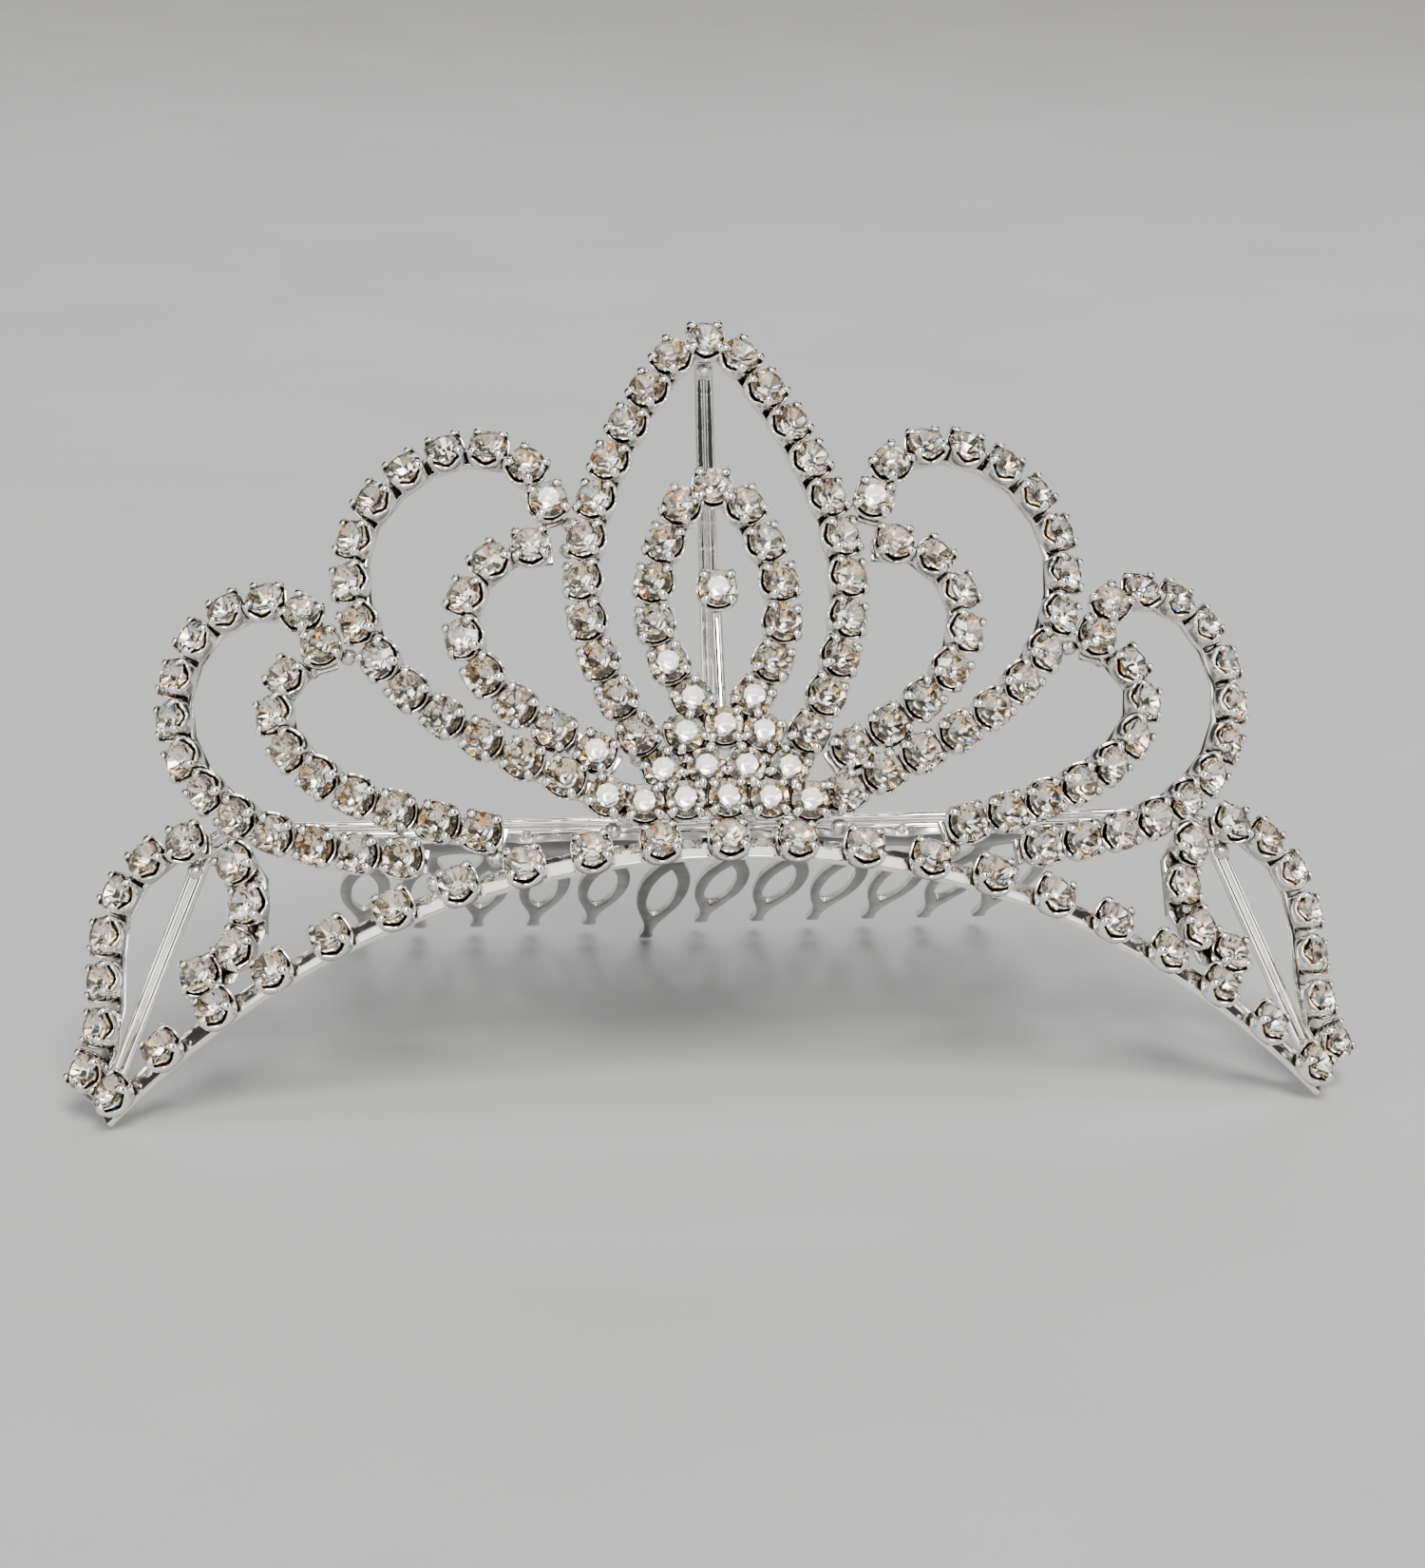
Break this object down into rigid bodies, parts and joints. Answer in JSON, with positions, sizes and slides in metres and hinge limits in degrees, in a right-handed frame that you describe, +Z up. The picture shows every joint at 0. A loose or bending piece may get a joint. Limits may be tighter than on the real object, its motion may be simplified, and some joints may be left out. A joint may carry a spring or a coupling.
{
  "type": "bridal tiara comb",
  "caption": "Crystal cup-chain tiara of nested scrolls on an arched band, with a double-wire rear frame and a looped-tooth hair comb.",
  "frame": {"origin": "on the surface the tiara stands on, at the middle of its outer box", "axes": "+Z up, -Y towards the front of the crystals, +X to the right seen from the front"},
  "size_m": [0.1106, 0.0481, 0.0632],
  "materials": {
    "silver_plate": "bright silver plate",
    "solder": "satin solder, plated over",
    "crystal": "faceted, foil backed",
    "comb_steel": "bright plate on stamped steel"
  },
  "bodies": {
    "root": {"base_band_cups": "silver_plate", "base_band_stones": "crystal", "base_band_strip": "silver_plate", "base_cluster_cups": "silver_plate", "base_cluster_stones": "crystal", "base_cluster_strip": "silver_plate", "centre_inner_petal_cups": "silver_plate", "centre_inner_petal_stones": "crystal", "centre_inner_petal_strip": "silver_plate", "centre_outer_petal_cups": "silver_plate", "centre_outer_petal_stones": "crystal", "centre_outer_petal_strip": "silver_plate", "comb_solder": "solder", "drop_cup": "silver_plate", "drop_post": "silver_plate", "drop_stone": "crystal", "frame_solder": "solder", "hair_comb": "comb_steel", "left_end_hook_cups": "silver_plate", "left_end_hook_stones": "crystal", "left_end_hook_strip": "silver_plate", "left_end_scroll_cups": "silver_plate", "left_end_scroll_stones": "crystal", "left_end_scroll_strip": "silver_plate", "left_side_inner_scroll_cups": "silver_plate", "left_side_inner_scroll_stones": "crystal", "left_side_inner_scroll_strip": "silver_plate", "left_side_scroll_cups": "silver_plate", "left_side_scroll_stones": "crystal", "left_side_scroll_strip": "silver_plate", "left_tall_inner_scroll_cups": "silver_plate", "left_tall_inner_scroll_stones": "crystal", "left_tall_inner_scroll_strip": "silver_plate", "left_tall_scroll_cups": "silver_plate", "left_tall_scroll_stones": "crystal", "left_tall_scroll_strip": "silver_plate", "rear_wire_inner": "silver_plate", "rear_wire_outer": "silver_plate", "right_end_hook_cups": "silver_plate", "right_end_hook_stones": "crystal", "right_end_hook_strip": "silver_plate", "right_end_scroll_cups": "silver_plate", "right_end_scroll_stones": "crystal", "right_end_scroll_strip": "silver_plate", "right_side_inner_scroll_cups": "silver_plate", "right_side_inner_scroll_stones": "crystal", "right_side_inner_scroll_strip": "silver_plate", "right_side_scroll_cups": "silver_plate", "right_side_scroll_stones": "crystal", "right_side_scroll_strip": "silver_plate", "right_tall_inner_scroll_cups": "silver_plate", "right_tall_inner_scroll_stones": "crystal", "right_tall_inner_scroll_strip": "silver_plate", "right_tall_scroll_cups": "silver_plate", "right_tall_scroll_stones": "crystal", "right_tall_scroll_strip": "silver_plate", "stem_wire_left": "silver_plate", "stem_wire_right": "silver_plate", "strand_solder": "solder"}
  },
  "joints": []
}
